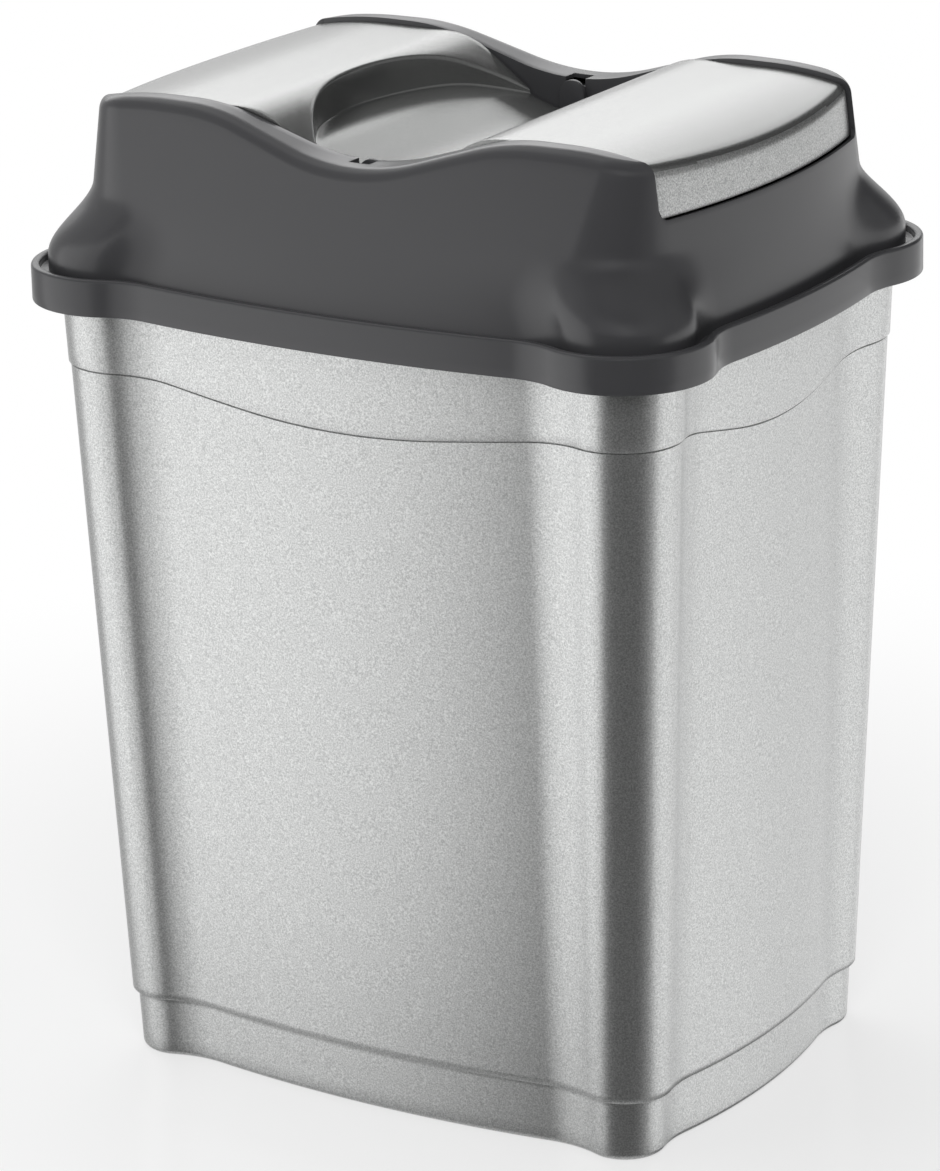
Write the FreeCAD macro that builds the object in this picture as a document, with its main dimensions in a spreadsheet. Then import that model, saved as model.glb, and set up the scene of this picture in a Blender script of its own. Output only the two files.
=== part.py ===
import FreeCAD, Part
import math
import os
from FreeCAD import Vector

# A kitchen swing bin in three mouldings: a tapering container with lobed corners, a hood that
# drops over its rim, and a wavy flap that swings on two stub pins snapped into the hood.
# X runs along the long side, Y along the short side, Z up. The origin is the middle of the base.

doc = FreeCAD.newDocument("SwingBin")
sheet = doc.addObject("Spreadsheet::Sheet", "Sizes")

# Sizes in millimetres, grouped by the piece that they belong to. Heights above the container's
# rim and places in from the skirt are given as steps from what carries them.
sizes = [
    # Plan outline of the hood's skirt, which the container's top follows. A lobe reaches past the
    # middle of a side by its own step, which may be negative.
    ("skirtHalfLength", 210.2), ("skirtHalfWidth", 164.1),
    ("skirtLobePastEnd", 1.1), ("skirtLobePastSide", -0.4),
    ("skirtLobeRadius", 48.8), ("skirtWaistRadius", 48.2),
    ("skirtLongBow", 878.0), ("skirtShortBow", 592.0),
    # Plan outline of the container's wall, carried down to the base plane
    ("skirtToBody", 17.85), ("taperLong", 10.05), ("taperWide", 13.05),
    ("baseLobePastEnd", -7.0), ("baseLobePastSide", -3.4),
    ("baseLobeRadius", 26.1), ("baseWaistRadius", 57.3),
    ("baseLongBow", 789.0), ("baseShortBow", 384.0),
    # Container: plinth, floor and walls
    ("containerHeight", 462.0), ("plinthHeight", 36.5), ("plinthInset", 3.2), ("floorThickness", 3.0),
    ("containerWall", 2.5), ("baseEdgeRadius", 4.0), ("footRingWidth", 12.0), ("footRecess", 1.6),
    # Container: the raised band, whose lower edge dips in the middle of each side
    ("bandProud", 1.2), ("bandDepth", 48.3),
    ("bandDipLong", 12.2), ("bandDipLongHalf", 172.0), ("bandDipShort", 13.5), ("bandDipShortHalf", 119.0),
    # Container: the rim that the hood rests on
    ("flangeThickness", 3.0), ("flangeLipHeight", 9.0), ("flangeLipThickness", 2.5),
    ("flangeToSkirt", 1.0),
    # Hood: skirt, bead, groove and web
    ("skirtDrop", 12.0), ("seatGap", 0.2), ("skirtWall", 2.5), ("webThickness", 4.0),
    ("beadHeight", 4.6), ("beadThickness", 5.0), ("beadRadius", 2.0), ("grooveWidth", 4.8),
    # Hood: walls and shoulders, in steps up from the web
    ("hoodWall", 2.4), ("shoulderFoot", 8.8), ("shoulderRise", 39.0), ("shoulderRadius", 46.0),
    ("hoodTopRise", 91.8), ("hoodEndLean", 17.4), ("hoodSideLean", 27.3),
    ("hoodTopCornerRadius", 30.0), ("hoodTopLongBow", 2400.0), ("hoodTopShortBow", 900.0),
    # Hood: the wavy borders beside the flap
    ("borderCrestRise", 7.5), ("borderDip", 22.0), ("borderDipHalf", 112.0), ("borderLevelLength", 13.0),
    ("endDropRadius", 230.0), ("borderThickness", 3.0), ("borderEdgeRadius", 9.0),
    ("borderWidth", 20.5), ("endWallDrop", 35.5), ("mouthCornerRadius", 6.0),
    ("cheekThickness", 2.4), ("cheekBelowPivot", 19.0),
    # Pivot: stub pins on the flap's ears, bearings in the hood's cheeks
    ("pivotBelowBorder", 8.5), ("pinRadius", 4.0), ("pinClearance", 0.08), ("pinProud", 0.5),
    ("bearingWall", 3.5), ("bearingThickness", 5.0), ("throatGrip", 1.2), ("notchMargin", 1.5),
    ("earWall", 4.0), ("earThickness", 3.0),
    # Flap
    ("flapSideGap", 1.5), ("flapEndGap", 0.8), ("flapWall", 2.2), ("lipGap", 0.6),
    ("flapBelowBorder", 2.5), ("pivotAboveFlap", 11.0), ("flapDipHalf", 84.0),
    ("flapKneeRadius", 8.0), ("flapSkirtDepth", 12.0),
    # Flap: the finger pocket
    ("pocketRadius", 136.0), ("pocketReach", 79.0), ("pocketFloorStep", 0.6),
    ("pocketFloorRise", 16.4), ("pocketFloorHalf", 68.0),
    # What every cutting tool runs past the piece that it cuts
    ("overrun", 20.0),
]
# Heights, lengths and radii that follow from them
derived = [
    ("skirtLobeLength", "skirtHalfLength + skirtLobePastEnd"),
    ("skirtLobeWidth", "skirtHalfWidth + skirtLobePastSide"),
    ("baseHalfLength", "skirtHalfLength - skirtToBody - taperLong"),
    ("baseHalfWidth", "skirtHalfWidth - skirtToBody - taperWide"),
    ("baseLobeLength", "baseHalfLength + baseLobePastEnd"),
    ("baseLobeWidth", "baseHalfWidth + baseLobePastSide"),
    ("bandHeight", "containerHeight - bandDepth"),
    ("skirtBottomHeight", "containerHeight - skirtDrop"),
    ("webTop", "containerHeight + seatGap + webThickness"),
    ("beadTop", "webTop + beadHeight"),
    ("shoulderLow", "webTop + shoulderFoot"),
    ("shoulderHigh", "shoulderLow + shoulderRise"),
    ("hoodTopHeight", "webTop + hoodTopRise"),
    ("hoodTopHalfLength", "skirtHalfLength - beadThickness - grooveWidth - hoodEndLean"),
    ("hoodTopHalfWidth", "skirtHalfWidth - beadThickness - grooveWidth - hoodSideLean"),
    ("borderCrest", "hoodTopHeight + borderCrestRise"),
    ("borderValley", "borderCrest - borderDip"),
    ("endDropStart", "borderDipHalf + borderLevelLength"),
    ("mouthHalfWidth", "hoodTopHalfWidth - borderWidth"),
    ("endWallHeight", "borderCrest - endWallDrop"),
    ("pivotHeight", "borderValley - pivotBelowBorder"),
    ("cheekBottomHeight", "pivotHeight - cheekBelowPivot"),
    ("bearingRadius", "pinRadius + bearingWall"),
    ("throatWidth", "2 * pinRadius - throatGrip"),
    ("notchWidth", "2 * pinRadius + 2 * notchMargin"),
    ("earRadius", "pinRadius + earWall"),
    ("earInside", "mouthHalfWidth - flapSideGap - earThickness"),
    ("pinLength", "earThickness + flapSideGap + bearingThickness + pinProud"),
    ("flapCrest", "borderCrest - flapBelowBorder"),
    ("flapValley", "pivotHeight - pivotAboveFlap"),
]
cells = [(name, str(value)) for name, value in sizes] + [(name, "=" + formula) for name, formula in derived]
for row, (name, content) in enumerate(cells, start=1):
    sheet.set("A%d" % row, name)
    sheet.set("B%d" % row, content)
    sheet.setAlias("B%d" % row, name)
doc.recompute()

# Where the long and the short bow of the hood's upper outline are split, to pair with the
# hollow waists of its lobed lower outline
longSplitShare = 0.83
shortSplitShare = 0.74
# Heights of the sections through a shoulder, from its foot to its top
shoulderShares = (0, 1 / 6, 1 / 3, 1 / 2, 2 / 3, 5 / 6, 1)
# Heights of the sections through the container's tall walls, from the lowest to the top
wallShares = (0, 1 / 4, 1 / 2, 3 / 4, 1)
# Steps of the turn round a moulded edge, from one face to the other
edgeShares = (0, 1 / 2, 1)
# How round each wave is: 0 is two straight slopes, 1 is two arcs with no slope between them
bandLongRoundShare = 0.92
bandShortRoundShare = 0.94
borderRoundShare = 0.91
flapRoundShare = 0.85
flapFootRoundShare = 0.47
pocketFloorRoundShare = 0.8
# The chamfer that leaves as much of a corner as a round edge of radius one does
chamferShare = 2 - math.sqrt(2)


def size(name):
    return float(sheet.get(name))


# Objects of the document

def feature(name, shape):
    piece = doc.addObject("Part::Feature", name)
    piece.Label = name
    piece.Shape = shape
    piece.Placement = FreeCAD.Placement()
    return piece


def bound(kind, name, formulas, turned=False):
    # A primitive whose sizes and place are bound to the sheet; turned lays its axis along Y
    piece = doc.addObject(kind, name)
    piece.Label = name
    if turned:
        piece.Placement = FreeCAD.Placement(Vector(), FreeCAD.Rotation(Vector(1, 0, 0), -90))
    for target, formula in formulas.items():
        piece.setExpression(target, formula)
    return piece


def united(name, *pieces):
    whole = doc.addObject("Part::MultiFuse", name)
    whole.Label = name
    whole.Shapes = list(pieces)
    return whole


def cut(name, base, tool):
    whole = doc.addObject("Part::Cut", name)
    whole.Label = name
    whole.Base = base
    whole.Tool = tool
    return whole


# Plan outlines. An outline is eight sizes: where the two side bows and the corner lobe reach,
# the lobe's radius, the hollow waist's radius beside it, and the radii of the two bows.
outlineParts = ("HalfLength", "HalfWidth", "LobeLength", "LobeWidth",
                "LobeRadius", "WaistRadius", "LongBow", "ShortBow")
growsOutward = (1, 1, 1, 1, 1, -1, 1, 1)


def namedOutline(prefix):
    return [size(prefix + part) for part in outlineParts]


def offsetOutline(outline, distance):
    return [value + sign * distance for value, sign in zip(outline, growsOutward)]


def bodyOutline(height, distance=0.0):
    # The container's outline at a height, moved outward by a distance
    base = namedOutline("base")
    top = offsetOutline(namedOutline("skirt"), -size("skirtToBody"))
    share = height / size("skirtBottomHeight")
    return offsetOutline([a + (b - a) * share for a, b in zip(base, top)], distance)


def skirtOutline(distance=0.0):
    return offsetOutline(namedOutline("skirt"), distance)


def circlesMeet(centreA, radiusA, centreB, radiusB, outward):
    # The crossing of two circles that lies further along outward
    gap = centreB - centreA
    along = (radiusA ** 2 - radiusB ** 2 + gap.Length ** 2) / (2 * gap.Length)
    across = math.sqrt(radiusA ** 2 - along ** 2)
    unit = Vector(gap).normalize()
    middle = centreA + unit * along
    side = Vector(-unit.y, unit.x, 0) * across
    return max(middle + side, middle - side, key=lambda point: point.dot(outward))


def towards(centre, radius, target):
    return centre + (target - centre).normalize() * radius


def lobedArcs(outline):
    # Ends and centres of the five tangent arcs from the middle of the long side to the middle
    # of the short side, in the quarter where X and Y are positive
    halfLength, halfWidth, lobeLength, lobeWidth, lobe, waist, longBow, shortBow = outline
    longCentre = Vector(0, halfWidth - longBow, 0)
    shortCentre = Vector(halfLength - shortBow, 0, 0)
    lobeCentre = Vector(lobeLength - lobe, lobeWidth - lobe, 0)
    longWaist = circlesMeet(longCentre, longBow + waist, lobeCentre, lobe + waist, Vector(0, 1, 0))
    shortWaist = circlesMeet(shortCentre, shortBow + waist, lobeCentre, lobe + waist, Vector(1, 0, 0))
    ends = [Vector(0, halfWidth, 0),
            towards(longCentre, longBow, longWaist),
            towards(lobeCentre, lobe, longWaist),
            towards(lobeCentre, lobe, shortWaist),
            towards(shortCentre, shortBow, shortWaist),
            Vector(halfLength, 0, 0)]
    return ends, [longCentre, longWaist, lobeCentre, shortWaist, shortCentre]


def arcPoint(start, end, centre, share):
    # A point on the arc from start to end, in plan
    a = start - centre
    b = end - centre
    turn = math.atan2(a.cross(b).z, a.dot(b)) * share
    return centre + FreeCAD.Rotation(Vector(0, 0, 1), math.degrees(turn)).multVec(a)


def arcPoles(start, end, centre):
    # The four poles of the cubic curve that follows an arc
    a = start - centre
    b = end - centre
    pull = 4 / 3 * math.tan(math.atan2(a.cross(b).z, a.dot(b)) / 4)
    return [start, start + Vector(-a.y, a.x, 0) * pull, end - Vector(-b.y, b.x, 0) * pull, end]


def quarterCurves(ends, centres):
    # Six curves, the corner in two of them
    middle = arcPoint(ends[2], ends[3], centres[2], 1 / 2)
    ends = ends[:3] + [middle] + ends[3:]
    centres = centres[:3] + centres[2:]
    return [arcPoles(ends[i], ends[i + 1], centres[i]) for i in range(6)]


def curveEdge(poles, height, signX=1, signY=1):
    curve = Part.BezierCurve()
    curve.setPoles([Vector(pole.x * signX, pole.y * signY, height) for pole in poles])
    return curve.toShape()


def outlineWire(outline, height):
    # The quarter where X and Y are positive, and its three mirror images
    quarter = quarterCurves(*lobedArcs(outline))
    backwards = [poles[::-1] for poles in quarter[::-1]]
    edges = []
    for signX, signY in ((1, 1), (1, -1), (-1, -1), (-1, 1)):
        for poles in quarter if signX == signY else backwards:
            edges.append(curveEdge(poles, height, signX, signY))
    return Part.Wire(edges)


def ruledSolid(*sections):
    # A solid with straight walls between outlines: sections are (outline, height) pairs
    return Part.makeLoft([outlineWire(outline, height) for outline, height in sections], True, True)


def upright(outline, low, high):
    return ruledSolid((outline, low), (outline, high))


def bodySections(low, high, distance):
    # The container's outline at several heights: short walls keep the mesh of a twisted corner light
    heights = [low + (high - low) * share for share in wallShares]
    return [(bodyOutline(height, distance), height) for height in heights]


def roundedEdge(radius):
    # Steps (distance in from the wall, distance along the wall) round an edge, from the wall on
    turns = [math.pi / 2 * share for share in edgeShares]
    return [(radius * (1 - math.cos(turn)), radius * math.sin(turn)) for turn in turns]


# Waves. A wave is a valley arc, a straight slope and a crest arc of the same radius, then a
# level stretch and, where it has one, a drop towards the end.

def wave(valley, crest, half, roundShare, dropStart=None, dropRadius=None):
    rise = crest - valley
    radius = roundShare * (half ** 2 + rise ** 2) / (4 * rise)
    return valley, crest, half, radius, dropStart, dropRadius


def wavePath(line, grow, reach):
    # Pieces (start, middle or None, end) of a wave from its middle outward, as pairs of a
    # distance and a height. grow moves the whole line along its normal.
    valley, crest, half, radius, dropStart, dropRadius = line
    rise = crest - valley
    slope = math.atan2(rise - 2 * radius, half) + math.asin(2 * radius / math.hypot(half, rise - 2 * radius))
    low = radius - grow
    high = radius + grow

    def onValley(angle):
        return low * math.sin(angle), valley + radius - low * math.cos(angle)

    def onCrest(angle):
        return half - high * math.sin(angle), crest - radius + high * math.cos(angle)

    pieces = [(onValley(0), onValley(slope / 2), onValley(slope)),
              (onValley(slope), None, onCrest(slope)),
              (onCrest(slope), onCrest(slope / 2), onCrest(0))]
    if dropStart is None:
        return pieces + [(onCrest(0), None, (reach, crest + grow))]
    outer = dropRadius + grow
    turn = math.asin((reach - dropStart) / outer)

    def onDrop(angle):
        return dropStart + outer * math.sin(angle), crest - dropRadius + outer * math.cos(angle)

    return pieces + [(onCrest(0), None, onDrop(0)), (onDrop(0), onDrop(turn / 2), onDrop(turn))]


def waveBlock(line, grow, reach, floorHeight, near, far, bothWays=False, acrossX=False):
    # All that lies under a wave, down to a floor, pushed from near to far
    path = wavePath(line, grow, reach)
    if bothWays:
        def flip(point):
            return point and (-point[0], point[1])
        path = [tuple(flip(point) for point in piece[::-1]) for piece in path[::-1]] + path
    first = path[0][0]
    last = path[-1][2]
    path = path + [(last, None, (last[0], floorHeight)),
                   ((last[0], floorHeight), None, (first[0], floorHeight)),
                   ((first[0], floorHeight), None, first)]

    def put(point):
        return Vector(near, point[0], point[1]) if acrossX else Vector(point[0], near, point[1])

    edges = []
    for start, middle, end in path:
        if middle is None:
            edges.append(Part.makeLine(put(start), put(end)))
        else:
            edges.append(Part.Arc(put(start), put(middle), put(end)).toShape())
    push = Vector(far - near, 0, 0) if acrossX else Vector(0, far - near, 0)
    return Part.Face(Part.Wire(edges)).extrude(push)


# Container

def makeContainer():
    wall = size("containerWall")
    plinth = size("plinthHeight")
    inset = size("plinthInset")
    top = size("containerHeight")
    floor = size("floorThickness")
    over = size("overrun")
    radius = size("baseEdgeRadius")
    sections = [(bodyOutline(radius - along, -inset - away), radius - along) for away, along in roundedEdge(radius)]
    foot = ruledSolid((bodyOutline(plinth, -inset), plinth), *sections)
    walls = ruledSolid(*bodySections(plinth, top, 0))
    # The raised band is all of a proud wall that lies over both dipping lines
    proud = size("bandProud")
    band = ruledSolid(*bodySections(plinth, top, proud))
    high = size("bandHeight")
    longLine = wave(high - size("bandDipLong"), high, size("bandDipLongHalf"), bandLongRoundShare)
    shortLine = wave(high - size("bandDipShort"), high, size("bandDipShortHalf"), bandShortRoundShare)
    length = size("skirtLobeLength")
    width = size("skirtLobeWidth")
    below = waveBlock(longLine, 0, length, 0, -width, width, bothWays=True)
    below = below.common(waveBlock(shortLine, 0, width, 0, -length, length, bothWays=True, acrossX=True))
    # The rim turns outward and down, under the hood's skirt
    reach = -size("skirtWall") - size("flangeToSkirt")
    flange = upright(skirtOutline(reach), top - size("flangeThickness"), top)
    lipLow = top - size("flangeLipHeight")
    lip = upright(skirtOutline(reach), lipLow, top)
    lipHole = upright(skirtOutline(reach - size("flangeLipThickness")), lipLow - over, top + over)
    outside = united("container_outside", feature("foot", foot), feature("walls", walls),
                     feature("band", band.cut(below)), feature("flange", flange), feature("rim_lip", lip.cut(lipHole)))
    # The cavity follows the wall, with the plinth's step in it, and a recess leaves a foot ring
    step = plinth + wall
    lower = ruledSolid((bodyOutline(floor, -inset - wall), floor), (bodyOutline(step, -inset - wall), step))
    upper = ruledSolid(*bodySections(step, top + over, -wall))
    ring = bodyOutline(0, -inset - size("footRingWidth"))
    hollow = united("container_hollow", feature("lower_cavity", lower), feature("upper_cavity", upper),
                    feature("foot_recess", upright(ring, -over, size("footRecess"))))
    return cut("container", outside, hollow)


# Hood

def roundedArcs(halfLength, halfWidth, corner, longBow, shortBow):
    # A rectangle with bowed sides and round corners, its bows split in two
    longCentre = Vector(0, halfWidth - longBow, 0)
    shortCentre = Vector(halfLength - shortBow, 0, 0)
    cornerCentre = circlesMeet(longCentre, longBow - corner, shortCentre, shortBow - corner, Vector(1, 1, 0))
    longMiddle = Vector(0, halfWidth, 0)
    shortMiddle = Vector(halfLength, 0, 0)
    cornerStart = towards(longCentre, longBow, cornerCentre)
    cornerEnd = towards(shortCentre, shortBow, cornerCentre)
    longSplit = arcPoint(longMiddle, cornerStart, longCentre, longSplitShare)
    shortSplit = arcPoint(shortMiddle, cornerEnd, shortCentre, shortSplitShare)
    return ([longMiddle, longSplit, cornerStart, cornerEnd, shortSplit, shortMiddle],
            [longCentre, longCentre, cornerCentre, shortCentre, shortCentre])


def hoodCurves(height, distance, share):
    # The hood's plan at a height, moved outward by a distance. share 0 is the lobed outline at
    # the shoulder's foot, 1 the bowed rectangle at its top.
    lobed = skirtOutline(-size("beadThickness") - size("grooveWidth"))
    rise = (height - size("webTop")) / size("hoodTopRise")
    lobed[0] += (size("hoodTopHalfLength") - lobed[0]) * rise
    lobed[1] += (size("hoodTopHalfWidth") - lobed[1]) * rise
    above = (height - size("shoulderHigh")) / (size("hoodTopHeight") - size("shoulderHigh"))
    corner = size("shoulderRadius") + (size("hoodTopCornerRadius") - size("shoulderRadius")) * above
    rounded = [lobed[0], lobed[1], corner, size("hoodTopLongBow"), size("hoodTopShortBow")]
    if share == 0:
        return quarterCurves(*lobedArcs(offsetOutline(lobed, distance)))
    upper = quarterCurves(*roundedArcs(*[value + distance for value in rounded]))
    if share == 1:
        return upper
    lower = quarterCurves(*lobedArcs(offsetOutline(lobed, distance)))
    return [[a + (b - a) * share for a, b in zip(low, high)] for low, high in zip(lower, upper)]


def quarterWire(height, distance, share):
    # The quarter of the hood's plan where X and Y are positive, closed over the middle
    curves = hoodCurves(height, distance, share)
    lift = Vector(0, 0, height)
    closing = [Part.makeLine(curves[-1][-1] + lift, lift), Part.makeLine(lift, curves[0][0] + lift)]
    return Part.Wire([curveEdge(poles, height) for poles in curves] + closing)


def shoulderSolid(distance, low):
    # From the web up through the shoulder, where the corner draws in along an S
    wires = [quarterWire(low, distance, 0)]
    for step in shoulderShares:
        height = size("shoulderLow") + size("shoulderRise") * step
        wires.append(quarterWire(height, distance, step * step * (3 - 2 * step)))
    return Part.makeLoft(wires, True, True)


def wallSolid(distance, low):
    # The straight leaning walls over the shoulder, higher than the waves that close them
    high = size("borderCrest") + size("overrun")
    return Part.makeLoft([quarterWire(low, distance, 1), quarterWire(high, distance, 1)], True, True)


def closedBy(name, walls, block, edgeRadius, far, chamfered):
    # Walls closed by a wave, with the edge between the two rounded or chamfered
    closed = walls.common(block)
    close = size("seatGap")
    base = closed.BoundBox.ZMin + close
    between = []
    for edge in closed.Edges:
        box = edge.BoundBox
        onMiddle = box.XMax < close or box.YMax < close
        onSide = box.YMin > far - close
        walled = [face.BoundBox.ZMin < base for face in closed.ancestorsOfType(edge, Part.Face)]
        if any(walled) and not all(walled) and not onMiddle and not onSide:
            between.append(edge)
    if chamfered:
        return feature(name, closed.makeChamfer(edgeRadius * chamferShare, between))
    return feature(name, closed.makeFillet(edgeRadius, between))


def topWave(valley, crest, half, roundShare):
    return wave(size(valley), size(crest), size(half), roundShare, size("endDropStart"), size("endDropRadius"))


def quartersJoined(shape, *normals):
    # Copies mirrored in the planes through the origin, sewn into one solid
    faces = shape.Faces
    for normal in normals:
        outer = [face for face in faces if abs(face.CenterOfMass.dot(normal)) > size("pinClearance")]
        faces = outer + [face.mirror(Vector(), normal) for face in outer]
    shell = Part.Compound(faces)
    shell.sewShape()
    return Part.makeSolid(shell.Shells[0])


def makeHood():
    over = size("overrun")
    base = size("containerHeight") + size("seatGap")
    beadTop = size("beadTop")
    bottom = size("skirtBottomHeight")
    length = size("skirtLobeLength")
    wall = size("hoodWall")
    low = size("shoulderHigh")
    # The skirt with its rounded bead, the groove inside it, and the web that rests on the rim
    radius = size("beadRadius")
    bead = [(away, beadTop - radius + along) for away, along in roundedEdge(radius)]
    groove = skirtOutline(-size("beadThickness"))
    rim = ruledSolid((skirtOutline(), bottom), *[(skirtOutline(-away), height) for away, height in bead])
    rim = rim.cut(ruledSolid((groove, size("webTop")), *[(offsetOutline(groove, away), height) for away, height in bead],
                             (offsetOutline(groove, radius), beadTop + over)))
    rim = rim.cut(upright(skirtOutline(-size("skirtWall")), bottom - over, base))
    rim = rim.common(Part.makeBox(length + over, length + over, size("borderCrest")))
    # Outside and inside of the walls: a shoulder and the leaning walls over it
    line = topWave("borderValley", "borderCrest", "borderDipHalf", borderRoundShare)
    outerBlock = waveBlock(line, 0, length, base, 0, length)
    innerBlock = waveBlock(line, -size("borderThickness"), length, base, 0, length)
    outside = united("hood_outside", feature("shoulder", shoulderSolid(0, base)),
                     closedBy("leaning_walls", wallSolid(0, low), outerBlock, size("borderEdgeRadius"), length, False))
    hollow = united("hood_hollow", feature("shoulder_hollow", shoulderSolid(-wall, base - over)),
                    closedBy("wall_hollow", wallSolid(-wall, low), innerBlock, size("borderEdgeRadius") - wall, length, True))
    # Beside the flap a cheek hangs from each border, with a boss for the bearing
    cheek = bound("Part::Box", "cheek", {
        "Length": "Sizes.skirtLobeLength + Sizes.overrun", "Width": "Sizes.cheekThickness",
        "Height": "Sizes.borderCrest - Sizes.cheekBottomHeight",
        "Placement.Base.x": "-Sizes.overrun", "Placement.Base.y": "Sizes.mouthHalfWidth",
        "Placement.Base.z": "Sizes.cheekBottomHeight"})
    boss = bound("Part::Cylinder", "bearing_boss", {
        "Radius": "Sizes.bearingRadius", "Height": "Sizes.bearingThickness",
        "Placement.Base.y": "Sizes.mouthHalfWidth", "Placement.Base.z": "Sizes.pivotHeight"}, turned=True)
    body = united("hood_body", feature("rim_quarter", rim), outside)
    shell = cut("hood_shell", body, cut("hood_inside", hollow, united("cheek_and_boss", cheek, boss)))
    # The mouth that the flap closes, open between the borders and over the end walls
    mouth = bound("Part::Box", "mouth", {
        "Length": "Sizes.skirtLobeLength + 2 * Sizes.overrun", "Width": "Sizes.mouthHalfWidth + Sizes.overrun",
        "Height": "Sizes.borderCrest + Sizes.overrun - Sizes.endWallHeight",
        "Placement.Base.x": "-Sizes.overrun", "Placement.Base.y": "-Sizes.overrun",
        "Placement.Base.z": "Sizes.endWallHeight"})
    # A bearing: a bore, a throat narrower than the pin, and a notch in the border over it
    bore = bound("Part::Cylinder", "bearing_bore", {
        "Radius": "Sizes.pinRadius + Sizes.pinClearance", "Height": "Sizes.bearingThickness + 2 * Sizes.overrun",
        "Placement.Base.y": "Sizes.mouthHalfWidth - Sizes.overrun", "Placement.Base.z": "Sizes.pivotHeight"}, turned=True)
    throat = bound("Part::Box", "bearing_throat", {
        "Length": "Sizes.throatWidth", "Width": "Sizes.bearingThickness + Sizes.overrun", "Height": "Sizes.overrun",
        "Placement.Base.x": "-Sizes.throatWidth / 2", "Placement.Base.y": "Sizes.mouthHalfWidth - Sizes.overrun",
        "Placement.Base.z": "Sizes.pivotHeight"})
    notch = bound("Part::Box", "bearing_notch", {
        "Length": "Sizes.notchWidth", "Width": "Sizes.bearingThickness + Sizes.overrun", "Height": "Sizes.overrun",
        "Placement.Base.x": "-Sizes.notchWidth / 2", "Placement.Base.y": "Sizes.mouthHalfWidth - Sizes.overrun",
        "Placement.Base.z": "Sizes.pivotHeight + Sizes.pinRadius"})
    doc.recompute()
    sill = [i for i, edge in enumerate(mouth.Shape.Edges, start=1)
            if edge.BoundBox.YMin > 0 and edge.BoundBox.ZMax < size("pivotHeight") and edge.BoundBox.XLength > length]
    roundMouth = doc.addObject("Part::Fillet", "round_mouth")
    roundMouth.Base = mouth
    roundMouth.Edges = [(i, size("mouthCornerRadius"), size("mouthCornerRadius")) for i in sill]
    quarter = cut("hood_quarter", shell, united("hood_openings", roundMouth, bore, throat, notch))
    doc.recompute()
    return feature("hood", quartersJoined(quarter.Shape, Vector(1, 0, 0), Vector(0, 1, 0)))


# Flap

def makeFlap():
    over = size("overrun")
    wall = size("flapWall")
    away = -size("hoodWall") - size("flapEndGap")
    half = size("mouthHalfWidth") - size("flapSideGap")
    length = size("skirtLobeLength")
    lip = size("endWallHeight") + size("lipGap")
    low = size("flapValley") - size("flapSkirtDepth")
    line = topWave("flapValley", "flapCrest", "flapDipHalf", flapRoundShare)
    knee = size("flapKneeRadius")
    skin = closedBy("flap_outside", wallSolid(away, low), waveBlock(line, 0, length, low, 0, half), knee, half, False)
    inside = closedBy("flap_hollow", wallSolid(away - wall, low),
                      waveBlock(line, -wall, length, low, 0, half - wall), knee - wall, half - wall, True)
    # The lower edge is level at the lips and deeper under the valley
    foot = wave(low, lip, size("flapDipHalf"), flapFootRoundShare)
    under = feature("flap_under", waveBlock(foot, 0, length, low - over, 0, length))
    # The finger pocket: inside a circle, over a floor that rises towards the circle's wall
    floorLow = size("flapValley") + size("pocketFloorStep")
    floor = wave(floorLow, floorLow + size("pocketFloorRise"), size("pocketFloorHalf"), pocketFloorRoundShare)
    radius = size("pocketRadius")
    centre = Vector(radius - size("pocketReach"), 0, low)
    mirror = Vector(1, 0, 0)
    pockets = []
    for grow in (0, wall):
        well = Part.makeCylinder(radius + grow, length, centre)
        well = well.cut(waveBlock(floor, -grow, length, 0, -radius, radius).mirror(Vector(), mirror))
        pockets.append(well.common(Part.makeBox(radius, radius, length, Vector(-radius, 0, low))))
    left = cut("flap_left_skin", feature("flap_left_outside", skin.Shape.mirror(Vector(), mirror)), feature("pocket", pockets[0]))
    leftHollow = cut("flap_left_hollow", feature("flap_left_inside", inside.Shape.mirror(Vector(), mirror)),
                     feature("pocket_outside", pockets[1]))
    leftUnder = feature("flap_left_under", under.Shape.mirror(Vector(), mirror))
    leftHalf = cut("flap_left", left, united("flap_left_away", leftHollow, leftUnder))
    rightHalf = cut("flap_right", skin, united("flap_right_away", inside, under))
    # An ear with a stub pin at the middle of the side
    ear = bound("Part::Cylinder", "ear", {
        "Radius": "Sizes.earRadius", "Height": "Sizes.earThickness",
        "Placement.Base.y": "Sizes.earInside", "Placement.Base.z": "Sizes.pivotHeight"}, turned=True)
    stem = bound("Part::Box", "ear_stem", {
        "Length": "2 * Sizes.earRadius", "Width": "Sizes.earThickness",
        "Height": "Sizes.pivotAboveFlap + Sizes.flapWall",
        "Placement.Base.x": "-Sizes.earRadius", "Placement.Base.y": "Sizes.earInside",
        "Placement.Base.z": "Sizes.flapValley - Sizes.flapWall"})
    pin = bound("Part::Cylinder", "stub_pin", {
        "Radius": "Sizes.pinRadius", "Height": "Sizes.pinLength",
        "Placement.Base.y": "Sizes.earInside", "Placement.Base.z": "Sizes.pivotHeight"}, turned=True)
    doc.recompute()
    whole = united("flap_half", leftHalf, rightHalf, ear, stem, pin)
    doc.recompute()
    return feature("swing_flap", quartersJoined(whole.Shape, Vector(0, 1, 0)))


pieces = []
for make in (makeContainer, makeHood, makeFlap):
    pieces.append(make())
    doc.recompute()
    print("made", pieces[-1].Label)

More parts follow.
